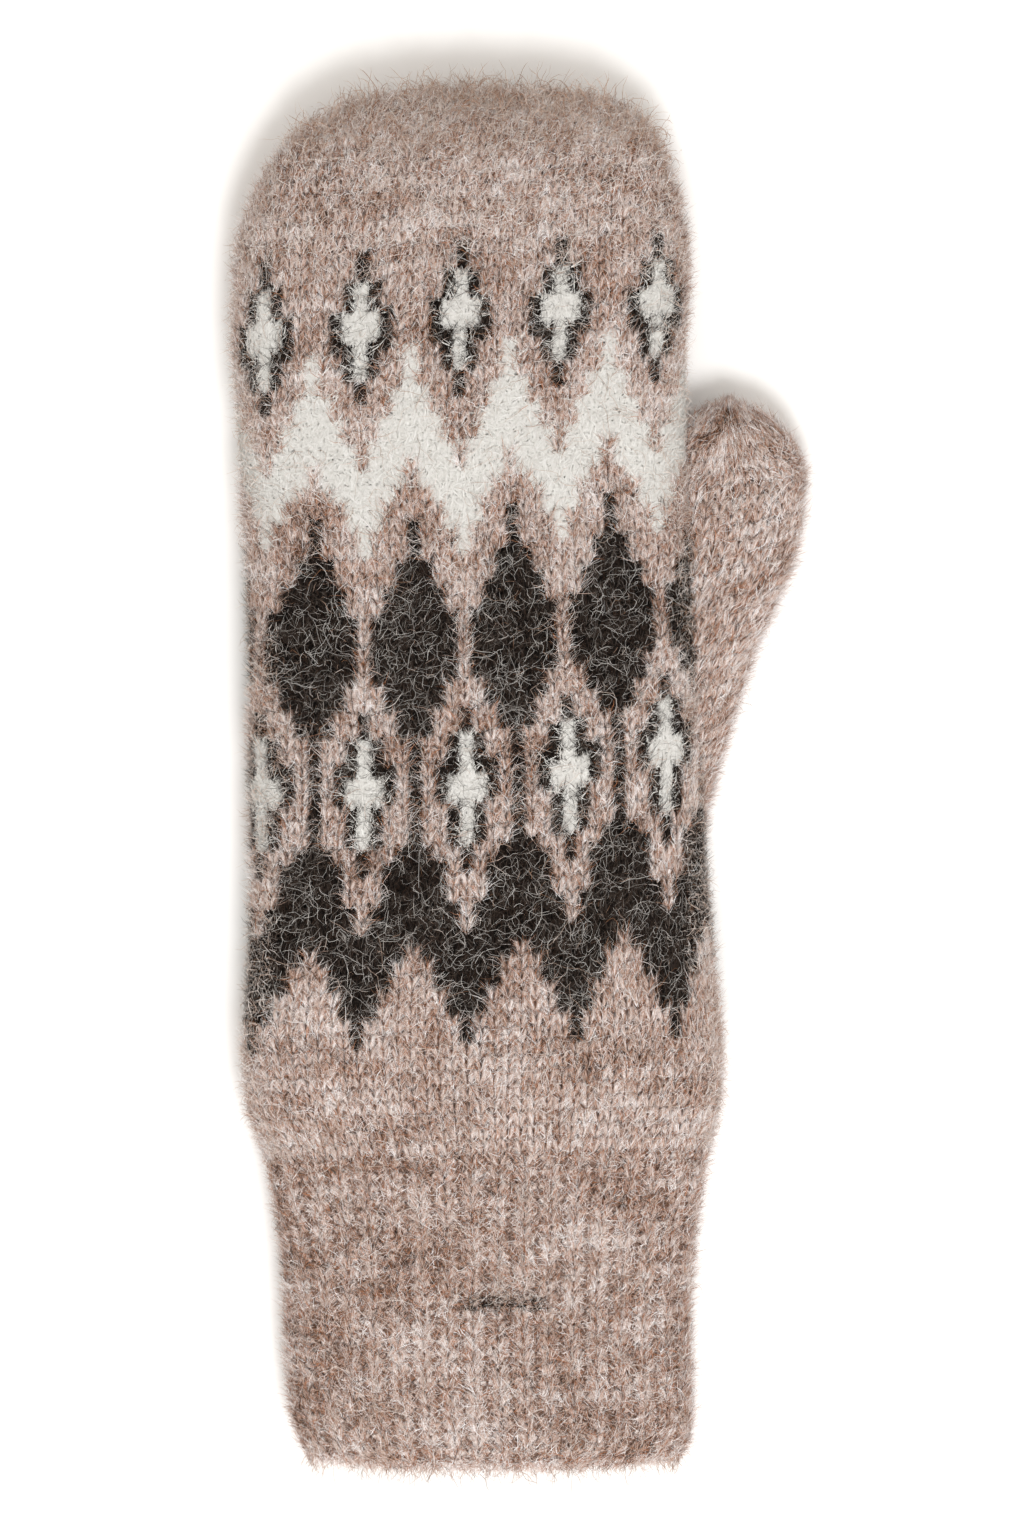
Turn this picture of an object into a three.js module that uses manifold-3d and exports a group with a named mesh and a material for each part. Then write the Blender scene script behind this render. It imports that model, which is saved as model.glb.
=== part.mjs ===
// A knitted wool mitten, lying on its palm: a ribbed cuff, a patterned hand with a round tip, and a thumb.
// Millimetres. The fingers point along +Y, the thumb lies towards +X and the back of the hand faces +Z.
// The origin is on the flat underside of the hand, where it rests.

import * as THREE from 'three';
import { mergeVertices } from 'three/addons/utils/BufferGeometryUtils.js';
import Module from 'manifold-3d';

const wasm = await Module();
wasm.setup();

// Driving dimensions
const knitWall = 2.6; // thickness of the double-stranded knitting
const seamGap = 0.3; // clear space between two pieces that meet
const cuffStitches = 72; // stitches in one round of the cuff, knit and purl by turns
const ribDepth = 0.35; // how far a knit rib stands out, and a purl rib in, from the mean surface
const crotchY = 30; // height at which the thumb's hollow parts from the hand's
const edgeShare = 0.42; // height of a section's widest line, as a share of the section's height
const undersideDepth = 1.25; // how far the underside would bulge, against its depth, if it weren't flattened
const squareness = 0.8; // exponent of a section's outline: 1 is an ellipse, lower is squarer

// How finely the surfaces are drawn
const outlinePoints = 36; // points that draw a section before it is spaced evenly
const handPoints = 44; // points round a section of the hand, and of the cuff's hollow
const thumbPoints = 28; // points round a section of the thumb
const lastRingAngle = 0.97 * (Math.PI / 2); // the last ring of a tip, on the quarter turn to its point

// Sizes of the cutters, which only have to reach clear of the solid
const openEnd = 4; // how far a hollow runs on past the mouth that it opens
const cutterSize = 400; // side of the block that marks off all space beyond a height

// Sections along Y: left and right edge, and the height above the table
const cuffSections = [
  { y: -140.2, left: -28.6, right: 38.8, height: 16.5 },
  { y: -138.4, left: -31.4, right: 42.4, height: 17.5 },
  { y: -133.6, left: -33.4, right: 44.8, height: 18.5 },
  { y: -122.0, left: -35.4, right: 45.2, height: 19 },
  { y: -108.0, left: -35.9, right: 45.1, height: 19.5 },
  { y: -94.0, left: -36.8, right: 46.0, height: 20 },
  { y: -84.0, left: -38.5, right: 47.3, height: 20.3 },
  { y: -76.0, left: -40.2, right: 48.7, height: 20.5 },
];
const handSections = [
  { y: -75.7, left: -40.3, right: 48.8, height: 20.5 },
  { y: -68.0, left: -43.2, right: 50.4, height: 21.5 },
  { y: -58.0, left: -44.2, right: 51.1, height: 22.5 },
  { y: -40.0, left: -43.2, right: 49.6, height: 23.5 },
  { y: -16.0, left: -42.6, right: 47.8, height: 24 },
  { y: 4.0, left: -42.8, right: 47.4, height: 24 },
  { y: 26.0, left: -43.0, right: 47.2, height: 24 },
  { y: 42.0, left: -43.4, right: 46.2, height: 24 },
  { y: 56.0, left: -44.2, right: 44.8, height: 24 },
  { y: 74.0, left: -45.6, right: 44.0, height: 24 },
  { y: 94.0, left: -46.2, right: 44.3, height: 23.5 },
  { y: 102.0, left: -45.6, right: 44.6, height: 23 },
];
const thumbSections = [
  { y: -22.0, left: 30.0, right: 45.0, height: 13 },
  { y: -10.0, left: 30.0, right: 47.6, height: 14 },
  { y: 4.0, left: 30.0, right: 51.4, height: 15 },
  { y: 14.0, left: 32.0, right: 54.8, height: 15.5 },
  { y: 22.0, left: 33.4, right: 57.0, height: 15.5 },
  { y: 30.0, left: 35.0, right: 60.6, height: 15.5 },
  { y: 42.0, left: 37.4, right: 65.6, height: 15.5 },
  { y: 51.0, left: 39.0, right: 67.5, height: 15.5 },
  { y: 57.0, left: 39.8, right: 67.8, height: 15 },
];

// Round tips, from the last section of a table to the point furthest out. The centre line moves sideways
// by lean. A low swell narrows early, and a high fullness keeps the end blunt.
const handTip = { reach: 35, lean: 5.8, swell: 1.4, fullness: 4.6, steps: 9 };
const thumbTip = { reach: 15.8, lean: -1, swell: 2.5, fullness: 2.35, steps: 7 };
const tipHeightFullness = 2.6; // how long a tip keeps its height towards the point
const tipLift = 0.3; // share of the height lost at a tip that comes off its underside

// A section grown outwards by a distance, on all sides
function grown(section, distance) {
  return {
    y: section.y,
    left: section.left - distance,
    right: section.right + distance,
    height: section.height + 2 * distance,
    lift: -distance,
  };
}

// A section as a ring of evenly spaced points, flat along its underside
function sectionRing({ y, left, right, height, lift }, count) {
  const centre = (left + right) / 2;
  const edge = lift + height * edgeShare;
  const above = height * (1 - edgeShare);
  const below = height * edgeShare * undersideDepth;
  const bent = (value) => Math.sign(value) * Math.abs(value) ** squareness;
  const outline = [];
  for (let i = 0; i < outlinePoints; i++) {
    const angle = (i / outlinePoints) * 2 * Math.PI;
    const x = centre + (bent(Math.cos(angle)) * (right - left)) / 2;
    const rise = bent(Math.sin(angle));
    const z = edge + rise * (rise > 0 ? above : below);
    outline.push(new THREE.Vector3(x, y, Math.max(z, lift)));
  }
  const ring = new THREE.CatmullRomCurve3(outline, true, 'centripetal').getSpacedPoints(count);
  ring.pop();
  for (const point of ring) point.z = Math.max(point.z, lift);
  return ring;
}

// The sections of a round tip, which close the tube beyond its last section
function tipSections(last, tip, reach) {
  const sections = [];
  for (let i = 1; i <= tip.steps; i++) {
    const along = Math.sin((i / tip.steps) * lastRingAngle);
    const halfWidth = ((last.right - last.left) / 2) * (1 - along ** tip.swell) ** (1 / tip.fullness);
    const height = last.height * (1 - along ** tipHeightFullness) ** (1 / tipHeightFullness);
    const centre = (last.left + last.right) / 2 + tip.lean * along ** 2;
    sections.push({
      y: last.y + reach * along,
      left: centre - halfWidth,
      right: centre + halfWidth,
      height,
      lift: last.lift + (last.height - height) * tipLift,
    });
  }
  return sections;
}

// A closed solid through a list of rings, with a point in the middle of each end
function loftedSolid(rings) {
  const count = rings[0].length;
  const positions = rings.flat().flatMap((point) => point.toArray());
  const ends = [rings[0], rings[rings.length - 1]];
  for (const ring of ends) {
    const middle = ring.reduce((sum, point) => sum.add(point), new THREE.Vector3());
    positions.push(...middle.divideScalar(count).toArray());
  }
  const first = rings.length * count;
  const index = [];
  for (let i = 0; i < count; i++) {
    const next = (i + 1) % count;
    for (let row = 0; row < rings.length - 1; row++) {
      const here = row * count;
      const there = here + count;
      index.push(here + i, there + i, here + next);
      index.push(there + i, there + next, here + next);
    }
    const lastRow = (rings.length - 1) * count;
    index.push(first, i, next);
    index.push(first + 1, lastRow + next, lastRow + i);
  }
  const geometry = new THREE.BufferGeometry();
  geometry.setAttribute('position', new THREE.Float32BufferAttribute(positions, 3));
  geometry.setIndex(index);
  return solidOf(geometry);
}

function solidOf(geometry) {
  const merged = mergeVertices(geometry);
  return new wasm.Manifold(new wasm.Mesh({
    numProp: 3,
    vertProperties: merged.attributes.position.array,
    triVerts: new Uint32Array(merged.index.array),
  }));
}

// The same sections with the first one also set back, so that a hollow runs out through its mouth
function openedAtStart(sections) {
  return [{ ...sections[0], y: sections[0].y - openEnd }, ...sections];
}

// A solid tube through grown sections, closed flat at both ends
function tube(sections, distance, count) {
  return loftedSolid(sections.map((section) => sectionRing(grown(section, distance), count)));
}

// A solid tube with a round tip
function mitt(sections, tip, distance, count) {
  const body = sections.map((section) => grown(section, distance));
  const end = tipSections(body[body.length - 1], tip, tip.reach + distance);
  return loftedSolid([...body, ...end].map((section) => sectionRing(section, count)));
}

// All space on the far side of a height along Y
function spaceBeyond(y) {
  const block = new THREE.BoxGeometry(cutterSize, cutterSize, cutterSize);
  block.translate(0, y + cutterSize / 2, 0);
  block.deleteAttribute('normal');
  block.deleteAttribute('uv');
  return solidOf(block);
}

// A ring of rib: every other point stands out, and the ones between lie in. The underside stays flat.
function ribbedRing(section) {
  const ring = sectionRing(grown(section, 0), cuffStitches);
  const centre = new THREE.Vector3();
  for (const point of ring) centre.addScaledVector(point, 1 / ring.length);
  const flatness = (section.right - section.left) / section.height;
  ring.forEach((point, i) => {
    const outwards = point.clone().sub(centre);
    outwards.z *= flatness;
    outwards.normalize();
    point.addScaledVector(outwards, i % 2 === 0 ? ribDepth : -ribDepth);
    point.z = Math.max(point.z, 0);
  });
  return ring;
}

// Cuff: an open tube of 1 by 1 rib
const cuffTop = cuffSections[cuffSections.length - 1];
const cuffHollow = [...openedAtStart(cuffSections), { ...cuffTop, y: cuffTop.y + openEnd }];
const cuff = loftedSolid(cuffSections.map(ribbedRing)).subtract(tube(cuffHollow, -knitWall, handPoints));

// Hand and thumb share one hollow. Above the crotch each keeps a wall of its own.
const handOuter = mitt(handSections, handTip, 0, handPoints);
const handHollow = mitt(openedAtStart(handSections), handTip, -knitWall, handPoints);
const handWithGap = mitt(openedAtStart(handSections), handTip, seamGap, handPoints);
const handWithWall = mitt(openedAtStart(handSections), handTip, seamGap + knitWall, handPoints);
const aboveCrotch = spaceBeyond(crotchY);
const thumbOuter = mitt(thumbSections, thumbTip, 0, thumbPoints);
const thumbInside = mitt(thumbSections, thumbTip, -knitWall, thumbPoints);
const thumbHollow = thumbInside.subtract(handWithWall.intersect(aboveCrotch));
const hand = handOuter.subtract(handHollow).subtract(thumbHollow);
const thumb = thumbOuter.subtract(thumbHollow).subtract(handWithGap);

function knittedMesh(name, solid, colour) {
  const mesh = solid.getMesh();
  const geometry = new THREE.BufferGeometry();
  geometry.setAttribute('position', new THREE.BufferAttribute(new Float32Array(mesh.vertProperties), 3));
  geometry.setIndex(new THREE.BufferAttribute(new Uint32Array(mesh.triVerts), 1));
  geometry.computeVertexNormals();
  const wool = new THREE.MeshStandardMaterial({ color: colour, roughness: 0.95, metalness: 0 });
  const piece = new THREE.Mesh(geometry, wool);
  piece.name = name;
  return piece;
}

const mitten = new THREE.Group();
mitten.name = 'mitten';
mitten.add(
  knittedMesh('cuff', cuff, 0xb09d93),
  knittedMesh('hand', hand, 0xb39f95),
  knittedMesh('thumb', thumb, 0xb5a399),
);

export default mitten;
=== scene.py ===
import math

import bpy
import numpy as np
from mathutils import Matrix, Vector, kdtree


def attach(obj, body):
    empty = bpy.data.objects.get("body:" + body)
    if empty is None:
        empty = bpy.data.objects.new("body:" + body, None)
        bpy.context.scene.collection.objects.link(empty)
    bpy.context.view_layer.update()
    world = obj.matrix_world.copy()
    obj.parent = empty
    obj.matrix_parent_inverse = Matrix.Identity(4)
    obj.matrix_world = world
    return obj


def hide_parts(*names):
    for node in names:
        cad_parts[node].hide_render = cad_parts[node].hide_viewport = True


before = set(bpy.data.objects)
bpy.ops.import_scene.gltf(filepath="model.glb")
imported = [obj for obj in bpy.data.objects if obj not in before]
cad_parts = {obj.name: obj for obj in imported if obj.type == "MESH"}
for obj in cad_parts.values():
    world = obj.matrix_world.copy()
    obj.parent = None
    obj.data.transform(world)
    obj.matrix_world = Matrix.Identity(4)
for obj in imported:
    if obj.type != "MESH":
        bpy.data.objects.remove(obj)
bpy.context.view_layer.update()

# The hand and the cuff: one tube of wool, knitted in rounds from the wrist up and closed in a round tip. It
# lies on its palm with its two layers puffed apart. Lengths are in millimetres until a mesh is made, and each
# row of the table is a place along the tube: its edges as they lie, and its height.
SECTION_FIELDS = [("y", float), ("left", float), ("right", float), ("height", float)]
body_sections = np.array(
    [
        (-140.4, -27.6, 38.4, 16.5),
        (-138.4, -30.4, 41.8, 17.5),
        (-133.6, -33.1, 44.6, 18.5),
        (-122.0, -35.4, 45.2, 19.0),
        (-108.0, -35.9, 45.1, 19.5),
        (-94.0, -36.8, 46.0, 20.0),
        (-84.0, -38.5, 47.3, 20.3),
        (-76.0, -40.2, 48.7, 20.5),
        (-68.0, -43.2, 50.4, 21.5),
        (-58.0, -44.2, 51.1, 22.5),
        (-40.0, -43.2, 49.6, 23.5),
        (-16.0, -42.6, 47.8, 24.0),
        (4.0, -42.8, 47.4, 24.0),
        (26.0, -43.0, 47.2, 24.0),
        (42.0, -43.4, 46.2, 24.0),
        (56.0, -44.2, 44.8, 24.0),
        (74.0, -45.6, 44.0, 24.0),
        (94.0, -46.2, 44.3, 23.5),
        (102.0, -45.6, 44.6, 23.0),
    ],
    dtype=SECTION_FIELDS,
)
hand_tip = {"reach": 33.6, "lean": 4.4, "swell": 1.4, "fullness": 4.4}

EDGE_SHARE = 0.42  # height of a section's widest line, as a share of its height
UNDERSIDE_DEPTH = 1.25  # how far the underside would bulge, against its depth, if it weren't flattened
SQUARENESS = 0.8  # exponent of a section's outline: 1 is an ellipse, lower is squarer
TIP_HEIGHT_FULLNESS = 2.6  # how long a tip keeps its height towards its point
TIP_LIFT = 0.3  # share of the height lost at a tip that comes off its underside
ROUND_HEIGHT = 2.8
HAND_STITCHES = 80
PATTERN_TOP_Y = 104.4  # the pattern's first round, counted down from the tip
PATTERN_TOP_ROUND = 87  # the same round, counted up from the cast-on edge
YARN_INSET = 0.5  # the middle of the stitches lies this far under the outside of the cloth
POINT_GAP = 0.4  # the last round lies this far before the point of a tip

# How far the rounds rise or fall away from the middle, by place across and by height: the cloth lies askew.
rise_places = np.array([-42.0, -31.0, -20.0, -10.0, 0.0, 20.0, 42.0])
rise_heights = np.array([-140.4, -120.0, -53.0, -4.0, 25.0, 48.0, 64.0, 90.0, 120.0, 133.0])
round_rises = np.array(
    [
        (3.6, 2.4, 0.9, 0.3, 0.2, 0.3, 2.0),
        (0.4, 0.3, 0.2, 0.1, 0.0, 0.2, 0.6),
        (-2.8, -2.2, -1.6, -1.1, -0.6, 0.2, 0.6),
        (-0.8, -0.8, -0.8, -0.3, 0.2, 3.0, 8.4),
        (-1.9, -2.4, -2.8, -2.2, -1.0, 1.4, 5.2),
        (1.5, -2.2, -1.6, -3.0, -0.9, 2.6, 3.6),
        (-3.2, -3.2, -1.0, -1.3, -0.6, 3.0, 2.8),
        (-6.4, -3.8, -4.0, -0.8, -0.6, 0.4, 2.4),
        (-2.0, -1.6, -1.2, -0.6, 0.0, 0.8, 1.6),
        (0.0, 0.0, 0.0, 0.0, 0.0, 0.0, 0.0),
    ]
)
# By height: how far the middle column lies to the side of the section's middle, how much wider than the rest
# the stitches in the middle are pulled, and how many stitches further round the outermost left columns lie.
column_heights = np.array([-140.0, -76.0, -53.0, -4.0, 26.0, 52.0, 90.0, 138.0])


def by_height(*values):
    return lambda y: np.interp(y, column_heights, values)


body_shift = by_height(-3.0, -3.0, -3.1, -1.9, -2.4, -1.1, 0.2, 0.0)
body_spread = by_height(0.02, 0.03, 0.08, 0.04, 0.0, 0.0, 0.0, 0.0)
body_edge_turn = by_height(0.0, 0.0, 3.0, 3.0, 3.2, 0.2, 0.0, 0.0)
OUTERMOST = 10  # the columns so turned are one in this many of a round
TURN_EASE = 1.5

# How finely a tube is worked out, and how far past its edges.
FINE_STEP = 0.25
TIP_STEPS = 160
RING_POINTS = 1441
BEFORE_START = 3.0  # a tube is worked out this far past its open end
PAST_SIDE = 0.3  # a stitch's middle may lie this share of its width past the side
RUN_ON = (-0.8, 1.6)  # how far a place may run on past the first and the last round


def eased(at, places, values):
    """A smooth curve through the values at the places."""
    slopes = np.gradient(values, places)
    i = np.clip(np.searchsorted(places, at) - 1, 0, len(places) - 2)
    span = places[i + 1] - places[i]
    t = np.clip((at - places[i]) / span, 0.0, 1.0)
    start = values[i] * (2 * t**3 - 3 * t**2 + 1) + slopes[i] * span * (t**3 - 2 * t**2 + t)
    end = values[i + 1] * (3 * t**2 - 2 * t**3) + slopes[i + 1] * span * (t**3 - t**2)
    return start + end


def unit(vectors):
    return vectors / (np.linalg.norm(vectors, axis=-1, keepdims=True) + 1e-9)


def section_depth(height, above):
    """How far a section reaches from its widest line, above or below it."""
    return np.where(above, height * (1 - EDGE_SHARE), height * EDGE_SHARE * UNDERSIDE_DEPTH)


class KnittedTube:
    """A tube of knitting on the table. A place on it is counted in stitches: up from its start, and round it,
    towards +X first, from the middle of the side that faces up."""

    def __init__(self, sections, tip, inset):
        last = sections[-1]
        quarter_turn = np.linspace(0.0, 0.499 * np.pi, TIP_STEPS)
        straight = np.arange(sections["y"][0] - BEFORE_START, last["y"], FINE_STEP)
        self.fine_y = np.concatenate([straight, last["y"] + (tip["reach"] - inset) * np.sin(quarter_turn)])
        along = np.clip((self.fine_y - last["y"]) / (tip["reach"] - inset), 0.0, 1.0)
        narrow = (1 - along ** tip["swell"]) ** (1 / tip["fullness"])
        sink = (1 - along**TIP_HEIGHT_FULLNESS) ** (1 / TIP_HEIGHT_FULLNESS)
        left = eased(self.fine_y, sections["y"], sections["left"]) + inset
        right = eased(self.fine_y, sections["y"], sections["right"]) - inset
        full_height = eased(self.fine_y, sections["y"], sections["height"]) - 2 * inset
        self.middle = (left + right) / 2 + tip["lean"] * along**2
        self.half_width = (right - left) / 2 * narrow
        self.height = full_height * sink
        self.lift = inset + (full_height - self.height) * TIP_LIFT
        # How far each place is from the start, over the top of the tube.
        steps = np.hypot(np.diff(self.fine_y), np.diff(self.height + self.lift))
        self.crest = np.concatenate([[0.0], np.cumsum(steps)])

    def section(self, y):
        fields = (self.middle, self.half_width, self.height, self.lift)
        return [np.interp(y, self.fine_y, field) for field in fields]

    def surface(self, y, angle):
        """Points of the tube. The angle is counted from the top, towards +X."""
        middle, half_width, height, lift = self.section(y)
        across, up = np.sin(angle), np.cos(angle)
        x = middle + half_width * np.sign(across) * np.abs(across) ** SQUARENESS
        swell = np.sign(up) * np.abs(up) ** SQUARENESS
        z = np.maximum(lift + height * EDGE_SHARE + swell * section_depth(height, swell > 0), lift)
        return np.stack(np.broadcast_arrays(x, y, z), axis=-1)

    def facing(self, y, angle):
        """Which way the cloth faces there."""
        step_y, step_angle = 0.4, 0.03
        across = self.surface(y, angle + step_angle) - self.surface(y, angle - step_angle)
        along = self.surface(y + step_y, angle) - self.surface(y - step_y, angle)
        return unit(np.cross(across, along))

    def holds(self, points, clearance):
        """Whether points lie in the tube, or nearer to it than a clearance."""
        middle, half_width, height, lift = self.section(points[..., 1])
        edge = lift + height * EDGE_SHARE
        depth = section_depth(height, points[..., 2] > edge)
        power = 2 / SQUARENESS
        aside = np.abs(points[..., 0] - middle) / (half_width + clearance)
        away = np.abs(points[..., 2] - edge) / (depth + clearance)
        return aside**power + away**power < 1

    def knit(self, rounds, stitches, narrowed_from, rise, shift, spread, edge_turn):
        """Lays out the stitches of each round. Past narrowed_from, stitches are knitted together at the two
        sides, so that those in the middle run on at the same width."""
        self.stitches = stitches
        self.rounds = len(rounds)
        angles = np.linspace(0, 2 * np.pi, RING_POINTS)
        column = np.arange(stitches)
        from_back = (column > stitches / 4) & (column < stitches * 3 / 4)
        count = np.where(from_back, column - stitches / 2, (column + stitches / 2) % stitches - stitches / 2)
        bulge = np.sin(count * 4 * np.pi / stitches) * stitches / (4 * np.pi)
        at_edge = -count / stitches * OUTERMOST - (OUTERMOST / 4 - 1)
        outermost = np.where(from_back, 0.0, np.clip(at_edge, 0.0, 1.0) ** TURN_EASE)
        points, normals, pitches, present = [], [], [], []
        pitch = None
        for y in rounds:
            ring = self.surface(np.full_like(angles, y), angles)
            length = np.concatenate([[0.0], np.cumsum(np.linalg.norm(np.diff(ring, axis=0), axis=1))])
            if pitch is None or y <= narrowed_from:
                pitch = length[-1] / stitches
            quarter = length[-1] / 4
            place = (count + spread(y) * bulge - edge_turn(y) * outermost) * pitch
            present.append(np.abs(place) < quarter + pitch * PAST_SIDE)
            place = np.clip(place, -quarter, quarter) + np.where(from_back, length[-1] / 2, 0.0) + shift(y)
            angle = np.interp(place % length[-1], length, angles)
            laid = self.surface(np.full_like(angle, y), angle)
            risen = np.clip(y + rise(laid[:, 0], y), self.fine_y[0], self.fine_y[-1])
            points.append(self.surface(risen, angle))
            normals.append(self.facing(risen, angle))
            pitches.append(pitch)
        self.points, self.normals = np.array(points), np.array(normals)
        self.pitch, self.present = np.array(pitches), np.array(present)

    def at(self, field, places):
        """A field of the cloth, its points or normals, at whole stitches."""
        up, around = places
        return field[up, around % self.stitches]

    def blend(self, field, up, around):
        """The same field at places between the stitches."""
        row = np.clip(np.floor(up).astype(int), 0, self.rounds - 2)
        column = np.floor(around).astype(int)
        f = np.clip(up - row, *RUN_ON)[..., None]
        g = (around - column)[..., None]
        a, b = column % self.stitches, (column + 1) % self.stitches
        low = field[row, a] * (1 - g) + field[row, b] * g
        high = field[row + 1, a] * (1 - g) + field[row + 1, b] * g
        return low * (1 - f) + high * f

    def spot(self, up, around, proud):
        """Points of the cloth, raised off the middle of its stitches by proud."""
        raised = np.broadcast_to(np.asarray(proud, dtype=float), up.shape)[..., None]
        return self.blend(self.points, up, around) + self.blend(self.normals, up, around) * raised


def body_rise(x, y):
    by_place = [np.interp(y, rise_heights, column) for column in round_rises.T]
    return np.interp(x, rise_places, by_place)


def tip_rounds(tube, last_round):
    """Places along Y of the rounds that close a tip, evenly spaced over the top of the tube."""
    start = np.interp(last_round, tube.fine_y, tube.crest)
    end = tube.crest[-1] - POINT_GAP
    count = round((end - start) / ROUND_HEIGHT)
    return np.interp(np.linspace(start, end, count + 1)[1:], tube.crest, tube.fine_y)


body_rounds = PATTERN_TOP_Y + ROUND_HEIGHT * (np.arange(PATTERN_TOP_ROUND + 1) - PATTERN_TOP_ROUND)
body = KnittedTube(body_sections, hand_tip, YARN_INSET)
body_rounds = np.concatenate([body_rounds, tip_rounds(body, PATTERN_TOP_Y)])
body.knit(
    body_rounds, HAND_STITCHES, body_sections["y"][-1], body_rise, body_shift, body_spread, body_edge_turn
)

# The thumb: a tapered tube with a round tip, knitted out of the side of the hand from the same wool, and
# gathered at its point. Its lower end is inside the hand, where the two tubes share one hollow.
thumb_sections = np.array(
    [
        (-22.0, 30.0, 45.0, 13.0),
        (-10.0, 30.0, 47.6, 14.0),
        (4.0, 30.0, 51.4, 15.0),
        (14.0, 32.0, 54.8, 15.5),
        (22.0, 33.4, 57.0, 15.5),
        (30.0, 35.0, 60.6, 15.5),
        (42.0, 37.4, 65.6, 15.5),
        (51.0, 39.0, 67.5, 15.5),
        (57.0, 39.8, 67.8, 15.0),
    ],
    dtype=SECTION_FIELDS,
)
thumb_tip = {"reach": 15.8, "lean": -1.0, "swell": 2.5, "fullness": 2.35}
THUMB_STITCHES = 28
THUMB_FIRST_Y, THUMB_LAST_Y = -20.0, 57.0  # its straight rounds lie between these
THUMB_MIDDLE_X = 53.0
THUMB_ROUND_SLOPE = 0.22  # its rounds rise this much to the right, and less towards its point
SLOPE_TO, SLOPE_FADES_OVER = 70.0, 20.0
GATHERED_FROM, GATHERED_TO = 54.0, 71.0  # along Y, where its columns draw together to its point
GATHERED_DIP = 0.022
GATHERED_SPREAD = -0.65
# The crease is not modelled in the cloth: only painted shade on its stitches and nap marks it.
crease_ends = np.array([(53.2, 70.4), (46.4, 65.0)])  # a fold in its top, beside its point
CREASE_WIDTH = 1.4


def gathered(y):
    part = np.clip((y - GATHERED_FROM) / (GATHERED_TO - GATHERED_FROM), 0.0, 1.0)
    return part * part * (3 - 2 * part)


def thumb_rise(x, y):
    aside = x - THUMB_MIDDLE_X
    slope = THUMB_ROUND_SLOPE * np.clip((SLOPE_TO - y) / SLOPE_FADES_OVER, 0.0, 1.0)
    return aside * slope - GATHERED_DIP * aside**2 * gathered(y)


def thumb_spread(y):
    return GATHERED_SPREAD * gathered(y)


def level(y):
    return 0.0


def crease_shade(points):
    """How much painted shade points get from the thumb's crease, 0 to 1: most along its fold."""
    start, end = crease_ends
    along = np.clip((points[..., :2] - start) @ (end - start) / ((end - start) @ (end - start)), 0.0, 1.0)
    away = np.linalg.norm(points[..., :2] - start - along[..., None] * (end - start), axis=-1)
    return np.exp(-((away / CREASE_WIDTH) ** 2))


thumb = KnittedTube(thumb_sections, thumb_tip, YARN_INSET)
thumb_rounds = np.arange(THUMB_FIRST_Y, THUMB_LAST_Y, ROUND_HEIGHT)
thumb_rounds = np.concatenate([thumb_rounds, tip_rounds(thumb, thumb_rounds[-1])])
thumb.knit(thumb_rounds, THUMB_STITCHES, thumb.fine_y[-1], thumb_rise, level, thumb_spread, level)

# The cloth of both tubes, behind the bodies of the stitches: the floats and the inner face of the knitting, a
# thin wall of dull wool. It is hollow, and the thumb's hollow opens into the hand's.
MM = 0.001
WALL_OUTSIDE, WALL_INSIDE = 1.0, 2.6  # the wall lies between these depths under the outside of the cloth
ROUND_END = 12.0  # the rings crowd over this last stretch of a tip
ROUND_END_RINGS = 14


class Look:
    """An output socket of a material's nodes. Sums on it add Math nodes, or Vector Math for colours."""

    def __init__(self, tree, socket=None):
        self.tree = tree
        self.socket = socket

    def node(self, kind, settings=None, sockets=None, output=0):
        """Any node: its settings are set first, then its sockets, and one of its outputs comes back."""
        made = self.tree.nodes.new("ShaderNode" + kind)
        for key, value in (settings or {}).items():
            if key == "stops":
                elements = made.color_ramp.elements
                while len(elements) < len(value):
                    elements.new(0.5)
                for element, (place, colour) in zip(elements, value):
                    element.position = place
                    element.color = colour
            else:
                setattr(made, key, value)
        for key, value in (sockets or {}).items():
            if isinstance(value, Look):
                self.tree.links.new(value.socket, made.inputs[key])
            else:
                made.inputs[key].default_value = value
        return Look(self.tree, made.outputs[output] if len(made.outputs) else None)

    def _sum(self, operation, first, second):
        wide = any(isinstance(v, Look) and v.socket.type in ("RGBA", "VECTOR") for v in (first, second))
        kind = "VectorMath" if wide else "Math"
        values = [v if isinstance(v, Look) or not wide else (v, v, v) for v in (first, second)]
        return self.node(kind, {"operation": operation}, dict(enumerate(values)))

    def __add__(self, other):
        return self._sum("ADD", self, other)

    def __sub__(self, other):
        return self._sum("SUBTRACT", self, other)

    def __mul__(self, other):
        return self._sum("MULTIPLY", self, other)

    def __rsub__(self, other):
        return self._sum("SUBTRACT", other, self)

    __radd__ = __add__
    __rmul__ = __mul__


def dyed(red, green, blue):
    """A colour as it is seen, 0 to 255, as the light it gives back."""
    seen = np.array([red, green, blue]) / 255.0
    light = np.where(seen <= 0.04045, seen / 12.92, ((seen + 0.055) / 1.055) ** 2.4)
    return (*light.tolist(), 1.0)


def ramp(shades):
    """The stops of a colour ramp, from rows of a place and a colour as it is seen."""
    return [(place, dyed(*colour)) for place, *colour in shades]


def new_material(name):
    material = bpy.data.materials.new(name)
    material.use_nodes = True
    material.node_tree.nodes.clear()
    return material, Look(material.node_tree)


def dull_surface(look, colour, roughness, shine, relief=None):
    """The shader of a dull surface, joined to the material's output."""
    sockets = {"Base Color": colour, "Roughness": roughness, "Specular IOR Level": shine}
    if relief is not None:
        sockets["Normal"] = relief
    shader = look.node("BsdfPrincipled", {}, sockets)
    look.node("OutputMaterial", {}, {"Surface": shader})


def placed(name, data):
    """An object of the scene from its mesh, lamp or camera."""
    made = bpy.data.objects.new(name, data)
    bpy.context.scene.collection.objects.link(made)
    return made


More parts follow.
